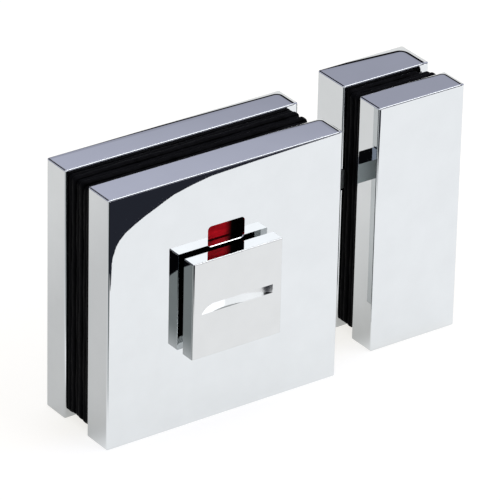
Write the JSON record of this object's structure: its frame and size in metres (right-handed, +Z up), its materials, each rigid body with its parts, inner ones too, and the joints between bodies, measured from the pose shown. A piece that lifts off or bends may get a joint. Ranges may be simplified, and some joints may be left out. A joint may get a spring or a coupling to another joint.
{
  "type": "glass door indicator bolt",
  "caption": "Privacy bolt set for a glass door: square lock plates with an indicator window and coin turn, a thrown bolt, and a narrow keeper.",
  "frame": {"origin": "bottom centre of the bounding box, on the surface that the lock and the keeper stand on", "axes": "+X from the lock to the keeper, +Y from the outside of the cabin to the inside, +Z up"},
  "size_m": [0.104, 0.0438, 0.065],
  "materials": {
    "chrome": "polished",
    "polished_steel": "polished",
    "steel": "zinc plated",
    "brass": "machined",
    "black_rubber": "matt",
    "black_nylon": "moulded",
    "white_nylon": "moulded",
    "red": "gloss",
    "green": "gloss"
  },
  "bodies": {
    "casing": {"clamp_screws": "steel", "clamp_sleeves": "white_nylon", "cover_grub_screws": "steel", "disc_spring": "steel", "front_base_bush": "black_nylon", "front_base_plate": "steel", "front_bush": "black_nylon", "front_cover": "chrome", "inside_bush": "black_nylon", "keeper_clamp_screws": "steel", "keeper_clamp_sleeves": "white_nylon", "keeper_front_base_plate": "steel", "keeper_front_cover": "chrome", "keeper_grub_screws": "steel", "keeper_rear_base_plate": "steel", "keeper_rear_cover": "chrome", "keeper_rubber_sheet_1": "black_rubber", "keeper_rubber_sheet_2": "black_rubber", "keeper_rubber_sheet_3": "black_rubber", "keeper_rubber_sheet_4": "black_rubber", "lower_bolt_guide": "black_nylon", "pocket_liner": "black_nylon", "rear_base_bush": "black_nylon", "rear_base_plate": "steel", "rear_cover": "chrome", "rubber_sheet_1": "black_rubber", "rubber_sheet_2": "black_rubber", "rubber_sheet_3": "black_rubber", "rubber_sheet_4": "black_rubber", "rubber_sheet_5": "black_rubber", "rubber_sheet_6": "black_rubber", "upper_bolt_guide": "black_nylon"},
    "turn_set": {"turn_plate": "chrome", "spindle": "steel", "spindle_clip": "steel", "indicator_disc": "white_nylon", "red_field": "red", "green_field": "green", "quadrant": "brass", "inside_turn": "chrome", "inside_turn_grub_screw": "steel"},
    "bolt": {"bolt": "polished_steel"}
  },
  "joints": [
    {"name": "turn", "type": "hinge", "parent": "casing", "child": "turn_set", "pos_m": [-0.0195, 0, 0.0325], "axis": [0, -1, 0], "range_deg": [0, 90]},
    {"name": "bolt_slide", "type": "slide", "parent": "casing", "child": "bolt", "axis": [-1, 0, 0], "range_m": [0, 0.01964]}
  ],
  "couplings": [
    {"joint": "bolt_slide", "follows": "turn", "m_per_rad": 0.0125}
  ]
}
